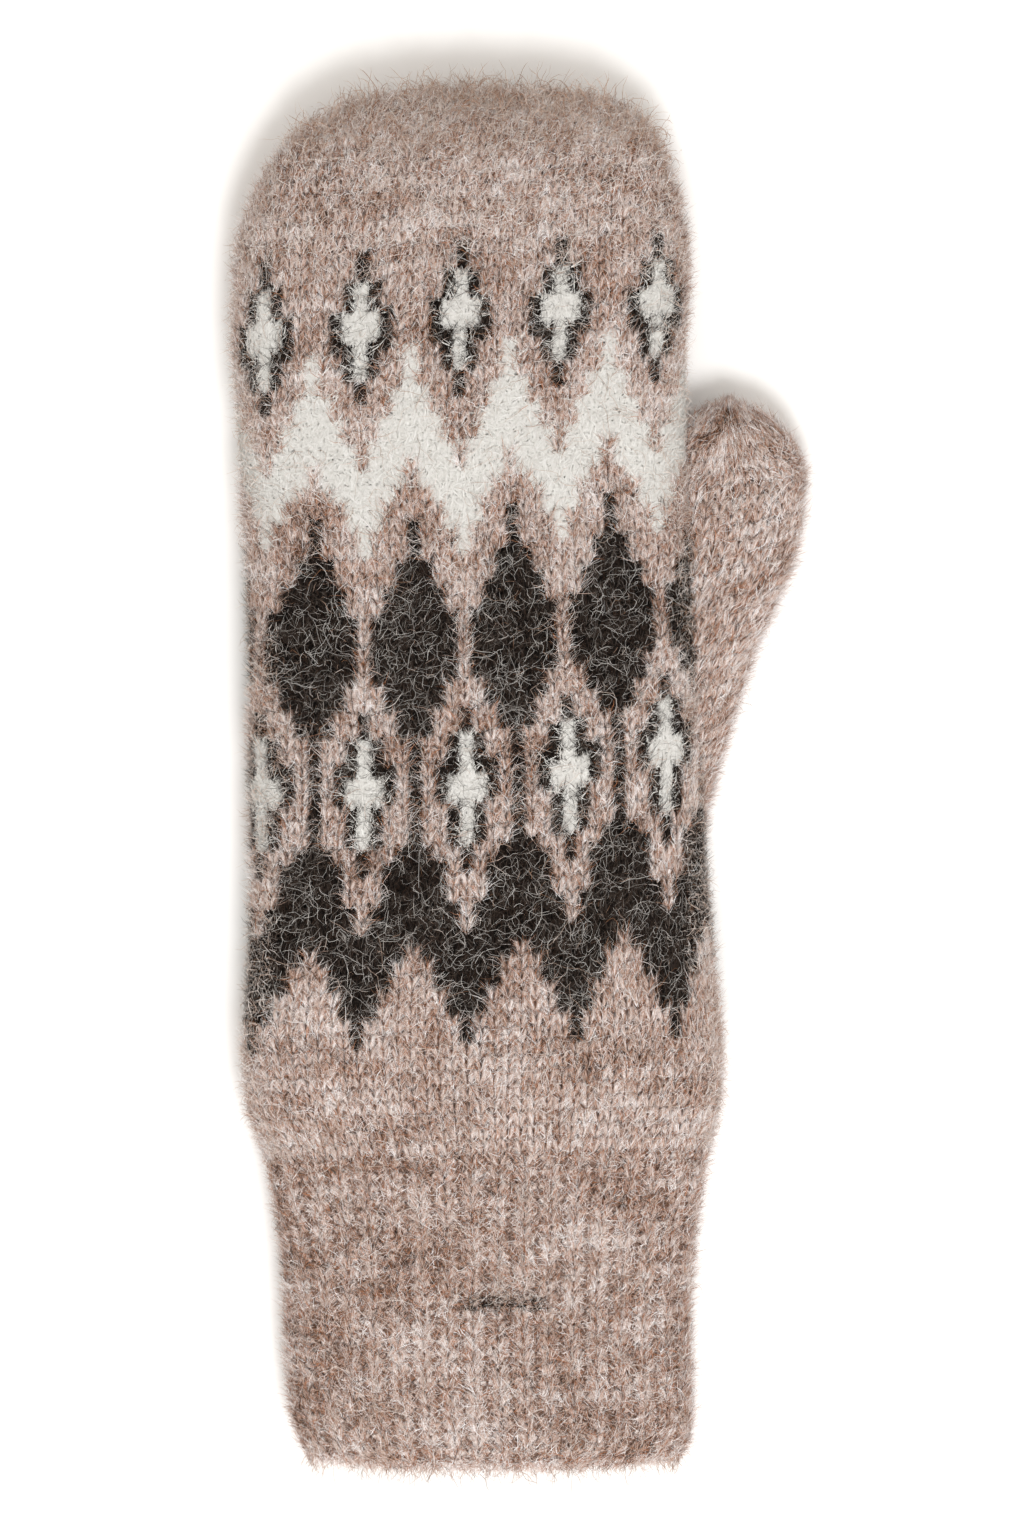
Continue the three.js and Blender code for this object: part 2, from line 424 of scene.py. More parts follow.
def add_fields(mesh, fields):
    """Values at each point of a mesh: single ones, or three together."""
    for key, values in fields.items():
        wide = values.ndim == 2
        field = mesh.attributes.new(key, "FLOAT_VECTOR" if wide else "FLOAT", "POINT")
        field.data.foreach_set("vector" if wide else "value", values.astype(np.float32).ravel())


def make_piece(name, points, faces, material, slot, uv=None, fields=None):
    """A mesh object from points in millimetres and arrays of faces with the same number of corners each."""
    mesh = bpy.data.meshes.new(name)
    counts = np.concatenate([np.full(len(each), each.shape[1]) for each in faces])
    corners = np.concatenate([each.ravel() for each in faces])
    mesh.vertices.add(len(points))
    mesh.vertices.foreach_set("co", (points * MM).astype(np.float32).ravel())
    mesh.loops.add(len(corners))
    mesh.loops.foreach_set("vertex_index", corners.astype(np.int32))
    mesh.polygons.add(len(counts))
    starts = np.concatenate([[0], np.cumsum(counts)[:-1]])
    mesh.polygons.foreach_set("loop_start", starts.astype(np.int32))
    mesh.polygons.foreach_set("loop_total", counts.astype(np.int32))
    mesh.polygons.foreach_set("use_smooth", np.full(len(counts), True))
    if uv is not None:
        mesh.uv_layers.new(name="OFBake").data.foreach_set("uv", uv[corners].astype(np.float32).ravel())
    add_fields(mesh, fields or {})
    mesh.update(calc_edges=True)
    mesh.materials.append(material)
    piece = placed(name, mesh)
    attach(piece, "root")
    return piece


def shell(sections, tip, inset, first, step, count):
    """Points and faces of a closed shape an inset under a tube's outside, from a place along Y to its tip."""
    tube = KnittedTube(sections, tip, inset)
    top = tube.fine_y[-1]
    straight = np.arange(first, top - ROUND_END, step)
    round_end = top - ROUND_END * (1 - np.sin(np.linspace(0.0, 0.49 * np.pi, ROUND_END_RINGS)))
    angles = np.arange(count) / count * 2 * np.pi
    rings = np.array([tube.surface(np.full(count, y), angles) for y in np.concatenate([straight, round_end])])
    points = np.concatenate([rings.reshape(-1, 3), rings[[0, -1]].mean(axis=1)])
    i = np.arange(count)
    j = (i + 1) % count
    rows = np.arange(len(rings) - 1)[:, None] * count
    quads = np.stack([rows + i, rows + j, rows + count + j, rows + count + i], axis=-1).reshape(-1, 4)
    start, end = len(points) - 2, len(points) - 1
    last = (len(rings) - 1) * count
    mouth = np.stack([np.full(count, start), j, i], axis=1)
    point = np.stack([np.full(count, end), last + i, last + j], axis=1)
    return points, [np.concatenate([mouth, point]), quads]


def cut_away(piece, points, faces):
    """Takes a closed shape out of a piece."""
    mesh = bpy.data.meshes.new("cutter")
    mesh.from_pydata((points * MM).tolist(), [], [face for each in faces for face in each.tolist()])
    cutter = placed("cutter", mesh)
    knife = piece.modifiers.new("cut", "BOOLEAN")
    knife.operation = "DIFFERENCE"
    knife.solver = "EXACT"
    knife.object = cutter
    shaped = bpy.data.meshes.new_from_object(piece.evaluated_get(bpy.context.evaluated_depsgraph_get()))
    piece.modifiers.clear()
    piece.data = shaped
    bpy.data.objects.remove(cutter)


# The wall's colour is its ground field: the pattern's colours with painted shade between the legs, and a
# random speckle.
ground_wool, look = new_material("ground_wool")
ground = look.node("Attribute", {"attribute_name": "ground"}, output=1)
place = look.node("TexCoord", output=3)
speckle = look.node("TexNoise", {"noise_dimensions": "3D"}, {"Vector": place, "Scale": 1600.0, "Detail": 3.0})
relief = look.node("Bump", {}, {"Strength": 0.6, "Distance": 0.0003, "Height": speckle})
dull_surface(look, ground * (speckle * 0.8 + 0.6), 0.95, 0.15, relief)

outside = shell(body_sections, hand_tip, WALL_OUTSIDE, -137.4, 3.5, 80)
hollow = shell(body_sections, hand_tip, WALL_INSIDE, -143.0, 5.0, 48)
thumb_outside = shell(thumb_sections, thumb_tip, WALL_OUTSIDE, -21.0, 4.0, 40)
thumb_hollow = shell(thumb_sections, thumb_tip, WALL_INSIDE, -19.0, 4.0, 40)
hand_wall = make_piece("hand_wall", *outside, ground_wool, "oatmeal_wool")
cut_away(hand_wall, *hollow)
cut_away(hand_wall, *thumb_hollow)
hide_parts("cuff", "hand")
thumb_wall = make_piece("thumb_wall", *thumb_outside, ground_wool, "oatmeal_wool")
cut_away(thumb_wall, *thumb_hollow)
cut_away(thumb_wall, *outside)
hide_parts("thumb")

# The stitches of the hand. Each is a V of two plump legs of two-ply wool, pulled up through the stitch below
# it. The stitches of each yarn are one piece, because each yarn is one strand.
REPEAT = 8
CHART_ROUNDS = 57
CUFF_ROUNDS = 23  # the hand starts at this round, after the rib
# Half of the 8-stitch repeat, from the middle of a small diamond outwards, as a knitter charts it. Each
# column is counted down from the tip. o is oatmeal, c is charcoal and w is cream.
chart_columns = [
    "2c 7w 2c 5o 6w 11o 2c 8w 2c 4o 8c",
    "2o 2c 2w 3c 5o 6w 6o 5c 4o 3c 2w 3c 4o 8c 2o",
    "4o 3c 5o 6w 6o 9c 4o 3c 4o 9c 4o",
    "10o 7w 5o 13c 8o 8c 6o",
    "7o 8w 4o 31c 7o",
]
chart = np.full((len(chart_columns), CHART_ROUNDS), "o")
for column, runs in enumerate(chart_columns):
    yarns = [run[-1] for run in runs.split() for _ in range(int(run[:-1]))]
    chart[column, : len(yarns)] = yarns[:CHART_ROUNDS]


def yarn_at(up, around):
    """The yarn of stitches of the hand."""
    down = PATTERN_TOP_ROUND - up
    place = around % REPEAT
    column = np.minimum(place, REPEAT - place)
    in_chart = (down >= 0) & (down < CHART_ROUNDS)
    return np.where(in_chart, chart[column, np.clip(down, 0, CHART_ROUNDS - 1)], "o")


LEG_SIDES = 3
LEG_STEPS = (0.0, 0.32, 0.72, 1.0)  # where a leg's foot, its two rings and its head are along it
FOOT_DEPTH = 0.3  # a leg starts and ends this far under the middle of the cloth
TABLE_CLEARANCE = 0.04
UNEVEN_UP, UNEVEN_AROUND = 0.05, 0.035  # how far the stitches stray from their places
THICKNESS = (0.9, 1.1)
HEATHER_ROUNDS, HEATHER_KNOTS = 120, 24  # rounds, and places in a round where the heather changes its shade
CARRIED_ON = 0.3  # how much of the shade comes from the round below
SHADE_OF_STRAND, SHADE_OF_LEG, SHADE_LOWER = 0.6, 0.6, 0.1
STREAK_FIELD = 400.0  # the streaks of each leg come from its own place in a field so wide
STREAK_ACROSS, STREAK_ALONG = 0.12, 1.6  # how wide a streak of fibres is on a strand, and how long


def cells(count):
    """A square on a texture for each of many small things: its lower corner, and the side of all."""
    per_side = math.ceil(math.sqrt(count))
    each = np.arange(count)
    return np.stack([each % per_side, each // per_side], axis=1) / per_side, 1.0 / per_side


def plump_legs(tube, up, around, path, width, depth, thick):
    """Legs of stitches, thick in the middle and closed in a point at both ends. path gives the leg's places,
    as (round it, up it, proud) from the middle of its stitch: its foot, its rings and its head."""
    count = len(up)
    middles = [tube.spot(up + step[1], around + step[0], step[2]) for step in path]
    heading = unit(middles[-1] - middles[0])
    turn = np.arange(LEG_SIDES) / LEG_SIDES * 2 * np.pi
    rings = [middles[0][:, None]]
    for i, step in enumerate(path[1:-1]):
        normal = tube.blend(tube.normals, up + step[1], around + step[0])
        side = unit(np.cross(heading, normal))
        offset = side[:, None] * np.sin(turn)[None, :, None] * width[i]
        offset = offset + normal[:, None] * np.cos(turn)[None, :, None] * depth[i]
        rings.append(middles[i + 1][:, None] + offset * thick[:, None, None])
    rings.append(middles[-1][:, None])
    points = np.concatenate(rings, axis=1)
    points[..., 2] = np.maximum(points[..., 2], TABLE_CLEARANCE)
    per_leg = points.shape[1]
    a = np.arange(LEG_SIDES)
    b = (a + 1) % LEG_SIDES
    foot = np.stack([np.zeros(LEG_SIDES, int), 1 + b, 1 + a], axis=1)
    last_ring = per_leg - 1 - LEG_SIDES
    head = np.stack([np.full(LEG_SIDES, per_leg - 1), last_ring + a, last_ring + b], axis=1)
    first = np.arange(count)[:, None, None] * per_leg
    triangles = (first + np.concatenate([foot, head])[None]).reshape(-1, 3)
    bands = []
    for ring in range(len(path) - 3):
        here = 1 + ring * LEG_SIDES
        bands.append(np.stack([here + a, here + b, here + LEG_SIDES + b, here + LEG_SIDES + a], axis=1))
    quads = (first + np.concatenate(bands)[None]).reshape(-1, 4)
    middle_rings = len(path) - 2
    ring_u = np.concatenate([[0.5], np.tile(0.1 + 0.8 * a / (LEG_SIDES - 1), middle_rings), [0.5]])
    ring_v = np.concatenate([[0.05], np.repeat(np.linspace(0.3, 0.7, middle_rings), LEG_SIDES), [0.95]])
    across = np.concatenate([[0.0], np.concatenate([np.sin(turn) * each for each in width]), [0.0]])
    return points, [triangles, quads], np.stack([ring_u, ring_v], axis=1), across


def leg_path(side, low, high, lean, proud):
    """A leg of a V, from its foot in the middle of the stitch, at low, to its head at the side, at high."""
    return [
        (
            side * (lean[0] + (lean[1] - lean[0]) * t),
            low + (high - low) * t,
            proud * math.sin(math.pi * t) - FOOT_DEPTH,
        )
        for t in LEG_STEPS
    ]


heather = np.random.default_rng(3).random((HEATHER_ROUNDS, HEATHER_KNOTS))
heather = heather * (1 - CARRIED_ON) + np.roll(heather, 1, axis=0) * CARRIED_ON


def strand_shade(up, around):
    """How light the heathered strand is at a stitch, 0 to 1: it changes every few stitches along a round."""
    knot = (around % HAND_STITCHES) / HAND_STITCHES * HEATHER_KNOTS
    low = np.floor(knot).astype(int)
    row = np.round(up).astype(int)
    mix = knot - low
    return heather[row, low] * (1 - mix) + heather[row, (low + 1) % HEATHER_KNOTS] * mix


def knitted_piece(name, tube, places, yarn, path_of, leg, seed, sides=(-1, 1), darker=0.0):
    """The stitches of one yarn: a left and a right leg at each place, none quite like its neighbour. leg
    gives how wide and how deep the legs are, at their two rings."""
    material, slot = yarn
    chance = np.random.default_rng(seed)
    up, around = np.asarray(places, dtype=float)
    count = len(up)
    up = up + chance.normal(0.0, UNEVEN_UP, count)
    around = around + chance.normal(0.0, UNEVEN_AROUND, count)
    corner, square = cells(len(sides) * count)
    points, triangles, quads, uvs, tones, strands = [], [], [], [], [], []
    for number, side in enumerate(sides):
        thick = chance.uniform(*THICKNESS, count)
        legs, (three, four), uv, across = plump_legs(tube, up, around, path_of(side), *leg, thick)
        mine = corner[number * count : (number + 1) * count]
        uvs.append((mine[:, None] + uv[None] * square).reshape(-1, 2))
        before = number * count * legs.shape[1]
        triangles.append(three + before)
        quads.append(four + before)
        shade = strand_shade(up, around) * SHADE_OF_STRAND + chance.random(count) * SHADE_OF_LEG
        shade = shade - SHADE_LOWER - darker
        own = chance.random(count) * STREAK_FIELD
        strand = [across / STREAK_ACROSS, legs[..., 1] / STREAK_ALONG, own[:, None]]
        strands.append(np.stack(np.broadcast_arrays(*strand), axis=-1).reshape(-1, 3))
        tones.append(np.repeat(shade, legs.shape[1]))
        points.append(legs.reshape(-1, 3))
    faces = [np.concatenate(triangles), np.concatenate(quads)]
    fields = {"tone": np.concatenate(tones), "strand": np.concatenate(strands)}
    return make_piece(name, np.concatenate(points), faces, material, slot, np.concatenate(uvs), fields)


def stitch_grid(tube, rounds, columns):
    """All stitches of some rounds and columns: a row of places up the tube and a row of places round it."""
    up, around = (each.ravel() for each in np.meshgrid(rounds, columns, indexing="ij"))
    return np.stack([up, around])[:, tube.present[up, around % tube.stitches]]


def spun_wool(name, shades, contrast):
    """Spun yarn: each leg has its own shade, and fine fibres run along it as streaks of shade and relief."""
    material, look = new_material(name)
    tone = look.node("Attribute", {"attribute_name": "tone"}, output=2)
    strand = look.node("Attribute", {"attribute_name": "strand"}, output=1)
    fine = {"Vector": strand, "Scale": 1.0, "Detail": 2.0}
    streaks = look.node("TexNoise", {"noise_dimensions": "3D"}, fine)
    shade = tone * 0.6 + (streaks - 0.5) * contrast + 0.2
    colour = look.node("ValToRGB", {"stops": ramp(shades)}, {"Fac": shade})
    relief = look.node("Bump", {}, {"Strength": 0.5, "Distance": 0.00025, "Height": streaks})
    dull_surface(look, colour, 0.95, 0.1, relief)
    return material


oatmeal_shades = [
    (0.0, 74, 58, 51),
    (0.22, 150, 114, 95),
    (0.42, 194, 166, 151),
    (0.65, 218, 204, 199),
    (1.0, 238, 233, 232),
]
charcoal_shades = [(0.0, 8, 6, 5), (0.5, 24, 19, 17), (1.0, 66, 57, 52)]
cream_shades = [(0.0, 208, 205, 201), (0.5, 221, 220, 217), (1.0, 232, 231, 229)]
oatmeal = (spun_wool("oatmeal_yarn", oatmeal_shades, 2.2), "oatmeal_wool")
charcoal = (spun_wool("charcoal_yarn", charcoal_shades, 2.0), "charcoal_wool")
cream = (spun_wool("cream_yarn", cream_shades, 1.2), "cream_wool")

hand_places = stitch_grid(body, np.arange(CUFF_ROUNDS, body.rounds), np.arange(HAND_STITCHES))
hand_yarns = yarn_at(*hand_places)


def plain_leg(side):
    return leg_path(side, -0.68, 0.68, (0.06, 0.45), 0.5)


PLAIN_LEG = (0.74, 0.83), (0.52, 0.57)
CREAM_LEG = (1.25, 1.35), (0.30, 0.34)
hand_stitches = [
    ("hand_oatmeal_stitches", "o", oatmeal, PLAIN_LEG),
    ("hand_charcoal_stitches", "c", charcoal, PLAIN_LEG),
    ("hand_cream_stitches", "w", cream, CREAM_LEG),
]
for seed, (name, letter, yarn, leg) in enumerate(hand_stitches):
    knitted_piece(name, body, hand_places[:, hand_yarns == letter], yarn, plain_leg, leg, seed)

# The floats: behind each stitch the other yarns run on, so the wall between the stitches takes the colours of
# the pattern. Under the oatmeal it also has painted shade, darker than the yarn, where it lies deep between
# the legs; under the rib of the cuff that painted shade is lighter.
ground_shades = {"o": (110, 88, 78), "rib": (132, 107, 95), "c": (22, 18, 16), "w": (236, 233, 228)}
ground_dyes_and_shade = {part: dyed(*shade)[:3] for part, shade in ground_shades.items()}
stitch_places = kdtree.KDTree(hand_places.shape[1])
for number, spot in enumerate(body.at(body.points, hand_places)):
    stitch_places.insert(spot * MM, number)
stitch_places.balance()
rib_top = (body_rounds[CUFF_ROUNDS] - ROUND_HEIGHT) * MM
hand_ground = []
for corner in hand_wall.data.vertices:
    nearest = stitch_places.find(corner.co)[1]
    hand_ground.append(ground_dyes_and_shade["rib" if corner.co.y < rib_top else str(hand_yarns[nearest])])
add_fields(hand_wall.data, {"ground": np.array(hand_ground)})
add_fields(thumb_wall.data, {"ground": np.array([ground_dyes_and_shade["o"]] * len(thumb_wall.data.vertices))})

# The cuff: 1 by 1 rib. Plain columns crowd together and stand out, and purl columns sink between them, so the
# band draws in at the wrist. From inside, the purl columns are the plain ones. The cast-on edge is a row of
# loops over the thickness of the cloth.
CUFF_STITCHES = 72
RIB_FADES_OVER = 4.0  # rounds at the top of the cuff, where the rib runs out into the hand
PURL_PROUD, PURL_RISE = 0.15, 0.3  # how proud the purl legs are, and how much more where the rib runs out
INNER_ROUNDS = 16  # as far as the eye reaches into the cuff
INNER_INSET = WALL_INSIDE + 0.1  # just inside the wall
# Painted shade: the cast-on loops, lit full on by the lamp, are given a darker tone.
EDGE_PAINTED_SHADE = 0.2
cuff_rounds = body_rounds[: CUFF_ROUNDS + 1]


def knit_cuff(inset):
    """The cuff's tube, with its stitches laid an inset under the outside of the cloth."""
    tube = KnittedTube(body_sections, hand_tip, inset)
    tube.knit(cuff_rounds, CUFF_STITCHES, body_sections["y"][-1], body_rise, body_shift, body_spread, level)
    return tube


cuff = knit_cuff(YARN_INSET)
inside_cuff = knit_cuff(INNER_INSET)
plain_places = stitch_grid(cuff, np.arange(1, CUFF_ROUNDS), np.arange(0, CUFF_STITCHES, 2))
inner_places = stitch_grid(inside_cuff, np.arange(1, INNER_ROUNDS), np.arange(1, CUFF_STITCHES, 2))
edge_places = stitch_grid(cuff, np.zeros(1, int), np.arange(CUFF_STITCHES))
fading = np.clip(1 - (CUFF_ROUNDS - 1 - plain_places[0]) / RIB_FADES_OVER, 0.0, 1.0)
purl_rise = PURL_PROUD + PURL_RISE * fading


def rib_leg(side):
    return leg_path(side, -0.66, 0.70, (0.10, 0.58), 0.5)


def purl_leg(side):
    return [
        (1 + side * 0.02, 0.12, -0.25),
        (1 + side * 0.18, 0.18, purl_rise),
        (1 + side * 0.38, 0.02, purl_rise - 0.05),
        (1 + side * 0.55, -0.25, -0.30),
    ]


def inner_rib_leg(side):
    return [(place, rise, -proud) for place, rise, proud in leg_path(side, -0.66, 0.70, (0.10, 0.52), 0.6)]


def cast_on_loop(side):
    arch = [(-0.62, -1.5), (-0.25, -0.9), (0.25, -0.9), (0.62, -1.5)]
    return [(place * side, 0.3, proud) for place, proud in arch]


RIB_LEG = (0.90, 0.98), (0.55, 0.60)
PURL_LEG = (0.76, 0.76), (0.45, 0.45)
INNER_LEG = (0.85, 0.92), (0.5, 0.55)
EDGE_LOOP = (1.05, 1.05), (1.35, 1.35)
knitted_piece("cuff_plain_stitches", cuff, plain_places, oatmeal, rib_leg, RIB_LEG, 10)
knitted_piece("cuff_purl_stitches", cuff, plain_places, oatmeal, purl_leg, PURL_LEG, 11)
knitted_piece("cuff_inner_stitches", inside_cuff, inner_places, oatmeal, inner_rib_leg, INNER_LEG, 12)
knitted_piece("cast_on_edge", cuff, edge_places, oatmeal, cast_on_loop, EDGE_LOOP, 13, (1,), EDGE_PAINTED_SHADE)

# The stitches of the thumb, knitted on from the hand in the same oatmeal yarn. They stop where they would go
# into the hand, and have painted shade down in the crease beside the point.
HAND_CLEARANCE = 0.2
CREASE_PAINTED_SHADE = 0.5
thumb_places = stitch_grid(thumb, np.arange(0, thumb.rounds), np.arange(THUMB_STITCHES))
thumb_places = thumb_places[:, ~body.holds(thumb.at(thumb.points, thumb_places), HAND_CLEARANCE)]
thumb_crease_shade = crease_shade(thumb.at(thumb.points, thumb_places)) * CREASE_PAINTED_SHADE
knitted_piece("thumb_stitches", thumb, thumb_places, oatmeal, plain_leg, PLAIN_LEG, 14, darker=thumb_crease_shade)

# The tacking: five short dark stitches in a row across the middle of the cuff, sunk in the nap. They are one
# strand of charcoal yarn, sewn through the outer layer from side to side.
TACK_UP = 11.55
tacks = np.array([(-0.05, 0.14, 0.04, 0.0, -0.2), (-0.3, 1.1, 2.5, 3.8, 5.0)])
tacks[0] += TACK_UP
TACK_LEG = (0.42, 0.42), (0.38, 0.38)


def tack_leg(side):
    return [(-0.85, -0.10, -0.2), (-0.4, 0.0, 0.62), (0.4, 0.05, 0.62), (0.85, 0.12, -0.2)]


knitted_piece("cuff_tacks", cuff, tacks, charcoal, tack_leg, TACK_LEG, 15, (1,))

# The nap. The mitten is brushed, which pulls fibres out of the yarn. They lie close over the stitches, mostly
# along their legs, and every way at the tip, where it is felted. Each is a fine ribbon that ends in a point.
FELTED_FROM, FELTED_TO = 92.0, 118.0  # along Y, where the nap turns from combed to felted
FELTED_DISORDER, FELTED_CLUMPS = 0.9, 0.7
# Painted light: towards the point, where the tip curves away from the lamp, the nap is given a lighter tone.
PAINTED_LIGHT_FROM, PAINTED_LIGHT_OVER, TIP_PAINTED_LIGHT = 120.0, 10.0, 0.14  # along Y, where it gets lighter to the point
EDGE_RISE = 5.0  # at the sides, where nothing has pressed it, the nap stands this much higher
# Painted light: the nap on the sides, which turn away from the lamp, is given a lighter tone.
EDGE_PAINTED_LIGHT = 0.25
LEG_START, LEG_SPREAD = 0.05, 0.36  # where the roots lie along a leg, in stitches from the middle of its V
LEAST_RISE, ARCH = 0.2, 0.25
STRAY_UP, STRAY_BEND, STRAY_LENGTH = 0.08, 0.4, 0.3  # how much the fibres differ from each other
NAP_WIDTHS = (0.6, 1.3)
NAP_TONES = (0.08, 0.84)  # the darkest tone, and how far they range
TONE_CURVE = 0.9  # under 1, light and dark fibres are more than middling ones


def fibre_piece(name, lines, facing, half_width, tone, finish):
    """Fine ribbons, each along its own line of points."""
    material, slot = finish
    count, places = lines.shape[:2]
    ahead = np.gradient(lines, axis=1)
    wide = unit(np.cross(ahead, facing))[:, :-1] * half_width[:, None, None]
    ribbon = np.stack([lines[:, :-1] - wide, lines[:, :-1] + wide], axis=2).reshape(count, -1, 3)
    points = np.concatenate([ribbon, lines[:, -1:]], axis=1)
    points[..., 2] = np.maximum(points[..., 2], TABLE_CLEARANCE)
    per_fibre = points.shape[1]
    first = np.arange(count)[:, None, None] * per_fibre
    step = np.arange(places - 2) * 2
    quads = (first + np.stack([step, step + 1, step + 3, step + 2], axis=1)[None]).reshape(-1, 4)
    triangles = (first + np.array([[per_fibre - 3, per_fibre - 2, per_fibre - 1]])[None]).reshape(-1, 3)
    corner, square = cells(count)
    v = 0.15 + 0.7 * np.concatenate([np.repeat(np.arange(places - 1), 2), [places - 1]]) / (places - 1)
    u = np.concatenate([np.tile([0.2, 0.8], places - 1), [0.5]])
    uv = (corner[:, None] + np.stack([u, v], axis=1)[None] * square).reshape(-1, 2)
    fields = {"tone": np.repeat(tone, per_fibre)}
    return make_piece(name, points.reshape(-1, 3), [triangles, quads], material, slot, uv, fields)


def lying_lines(tube, up, around, headings, length, proud):
    """Lines over the cloth. A heading is an angle from straight up the cloth, towards round it."""
    step = (length / headings.shape[1])[:, None]
    pitch = tube.pitch[np.clip(np.round(up).astype(int), 0, tube.rounds - 1)][:, None]
    zero = np.zeros((len(up), 1))
    rise = np.cumsum(np.cos(headings) * step / ROUND_HEIGHT, axis=1)
    turn = np.cumsum(np.sin(headings) * step / pitch, axis=1)
    ups = up[:, None] + np.concatenate([zero, rise], axis=1)
    rounds = around[:, None] + np.concatenate([zero, turn], axis=1)
    return tube.spot(ups, rounds, proud), tube.blend(tube.normals, ups, rounds)


def nap(name, tube, places, per_stitch, bends, lie, finish, seed, darker=0.0):
    """Short fibres on both legs of each stitch, straight ones or ones with some bends."""
    chance = np.random.default_rng(seed)
    darker = np.repeat(np.broadcast_to(darker, places.shape[1]), per_stitch)
    up, around = np.repeat(places, per_stitch, axis=1)
    count = len(up)
    side = chance.choice([-1.0, 1.0], count)
    leg = np.repeat(chance.random((count // per_stitch, 2)), per_stitch, axis=0)
    leg_shade = np.where(side > 0, leg[:, 0], leg[:, 1]) - 0.5
    along = chance.random(count)
    start_up = up + lie["foot"] + lie["climb"] * along + chance.normal(0.0, STRAY_UP, count)
    start_around = around + side * (LEG_START + LEG_SPREAD * along)
    start_around = start_around + chance.normal(0.0, lie["scatter"], count)
    at_y = tube.at(tube.points, (up, around))[:, 1]
    felted = np.clip((at_y - FELTED_FROM) / (FELTED_TO - FELTED_FROM), 0.0, 1.0)
    disorder = lie["disorder"] * (1 - felted) + FELTED_DISORDER * felted
    first = side * lie["lean"] + chance.normal(0.0, 1.0, count) * disorder
    turns = np.cumsum(chance.normal(0.0, STRAY_BEND, (count, bends)), axis=1)
    headings = np.concatenate([first[:, None], first[:, None] + turns], axis=1)
    length = lie["length"] * chance.lognormal(0.0, STRAY_LENGTH, count)
    low = lie["proud"] + chance.uniform(0.0, lie["thick"], count)
    facing_up = tube.at(tube.normals, (up, around))[:, 2]
    edge = np.clip(1.0 - facing_up, 0.0, 1.0) ** 1.5
    high = low + LEAST_RISE + lie["rise"] * (1 + EDGE_RISE * edge) * chance.random(count) ** 1.5
    climb = np.linspace(0.0, 1.0, bends + 2)[None]
    proud = low[:, None] + (high - low)[:, None] * climb + ARCH * np.sin(np.pi * climb)
    lines, facing = lying_lines(tube, start_up, start_around, headings, length, proud)
    tilted = facing + chance.normal(0.0, lie["tilt"], (count, 1, 3))
    half_width = lie["width"] / 2 * chance.uniform(*NAP_WIDTHS, count)
    tone = NAP_TONES[0] + NAP_TONES[1] * chance.beta(TONE_CURVE, TONE_CURVE, count)
    # painted light on the sides
    tone = tone + EDGE_PAINTED_LIGHT * edge - darker
    tone = tone + leg_shade * lie["clump"] * (1 + FELTED_CLUMPS * felted)
    # painted light towards the tip
    tone = tone + TIP_PAINTED_LIGHT * np.clip((at_y - PAINTED_LIGHT_FROM) / PAINTED_LIGHT_OVER, 0.0, 1.0)
    tone = tone + (strand_shade(up, around) - 0.5) * lie["heather"]
    return fibre_piece(name, lines, tilted, half_width, np.clip(tone, 0.0, 1.0), finish)


def fibre_wool(name, shades):
    """Single wool fibres, each of one shade."""
    material, look = new_material(name)
    tone = look.node("Attribute", {"attribute_name": "tone"}, output=2)
    colour = look.node("ValToRGB", {"stops": ramp(shades)}, {"Fac": tone})
    dull_surface(look, colour, 0.8, 0.1)
    return material


oatmeal_fibre_shades = [
    (0.0, 44, 38, 36),
    (0.12, 130, 88, 64),
    (0.24, 186, 126, 90),
    (0.34, 156, 132, 122),
    (0.48, 216, 190, 176),
    (0.62, 204, 194, 192),
    (0.78, 236, 227, 224),
    (1.0, 250, 249, 251),
]
charcoal_fibre_shades = [
    (0.0, 8, 6, 5),
    (0.4, 14, 11, 10),
    (0.62, 54, 38, 29),
    (0.8, 62, 53, 47),
    (0.9, 104, 97, 92),
    (1.0, 176, 170, 165),
]
cream_fibre_shades = [(0.0, 210, 208, 204), (0.5, 222, 221, 218), (1.0, 233, 233, 231)]
oatmeal_fibres = (fibre_wool("oatmeal_fibres", oatmeal_fibre_shades), "oatmeal_wool")
charcoal_fibres = (fibre_wool("charcoal_fibres", charcoal_fibre_shades), "charcoal_wool")
cream_fibres = (fibre_wool("cream_fibres", cream_fibre_shades), "cream_wool")

# How the fibres of each yarn lie. Places on the cloth are counted in stitches, all else is in millimetres.
oatmeal_lie = {
    "length": 1.8,
    "width": 0.1,
    "lean": 0.5,
    "scatter": 0.15,
    "disorder": 0.5,
    "rise": 0.5,
    "heather": 0.4,
    "clump": 0.5,
    "proud": 0.2,
    "thick": 0.4,
    "tilt": 0.35,
    "foot": -0.8,
    "climb": 1.1,
}
charcoal_lie = dict(oatmeal_lie, rise=0.4, heather=0.2, clump=0.2)
cream_lie = dict(oatmeal_lie, length=1.2, width=0.2, scatter=0.2, disorder=0.9, rise=0.1, heather=0.0)
cream_lie.update(clump=0.1, proud=0.25, thick=0.15, tilt=0.12)
rib_lie = dict(oatmeal_lie, scatter=0.2)
valley_lie = dict(rib_lie, lean=0.7, proud=0.5)
LONG = {"length": 3.0, "disorder": 0.7}
CUFF_DARKER = 0.06
FACES_UP = -0.2  # a stitch is on the back where its cloth faces up more than this
hand_faces = body.at(body.normals, hand_places)[:, 2]
on_back = hand_faces > FACES_UP
cuff_on_back = cuff.at(cuff.normals, plain_places)[:, 2] > FACES_UP
